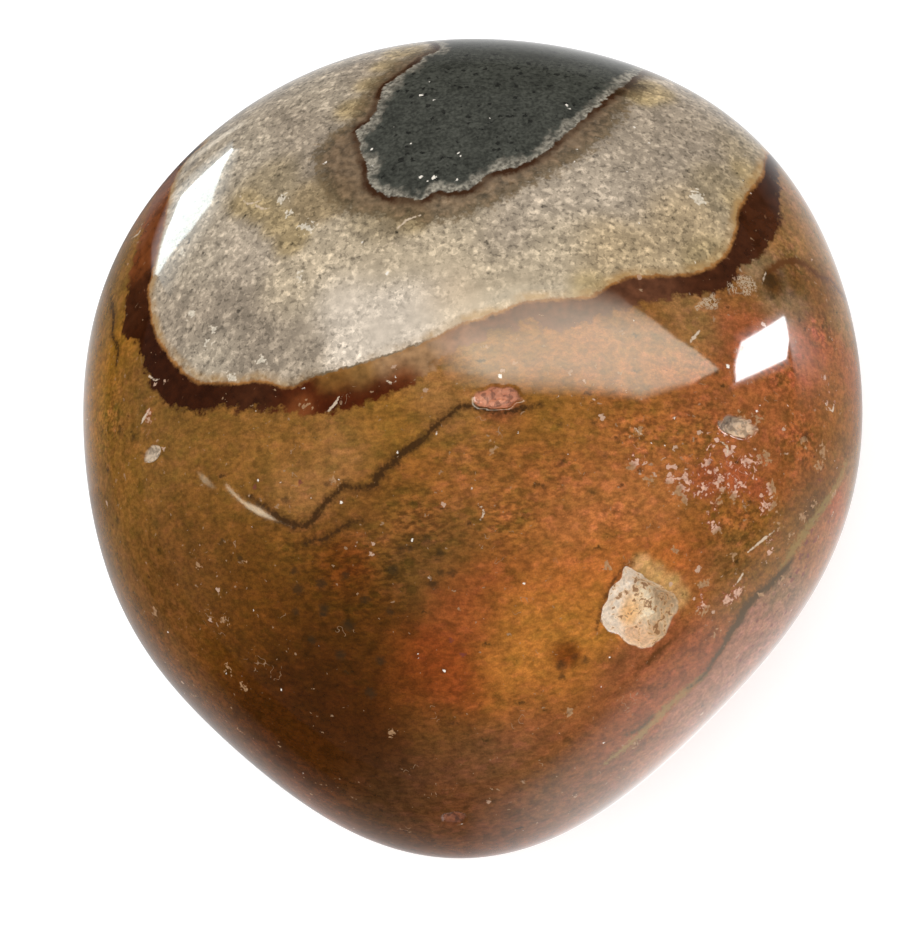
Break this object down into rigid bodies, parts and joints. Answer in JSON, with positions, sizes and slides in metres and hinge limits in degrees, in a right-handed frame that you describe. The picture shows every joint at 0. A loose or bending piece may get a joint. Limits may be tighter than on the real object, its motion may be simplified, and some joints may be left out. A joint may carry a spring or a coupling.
{
  "type": "polychrome jasper palm stone",
  "caption": "Polished oval jasper palm stone, broad and flattish, with an open pocket and shallow pits in its patterned crown; it lies on its back.",
  "frame": {"origin": "middle of the small flat patch at the bottom of the stone's back, on which it rests", "axes": "+Z out of the patterned crown, away from the patch that the stone rests on; +Y towards the end with the dark green-grey patch; +X towards the side nearest the open pocket"},
  "size_m": [0.0656, 0.0692, 0.0402],
  "materials": {
    "stone": "polished"
  },
  "bodies": {
    "root": {"stone": "stone"}
  },
  "joints": []
}
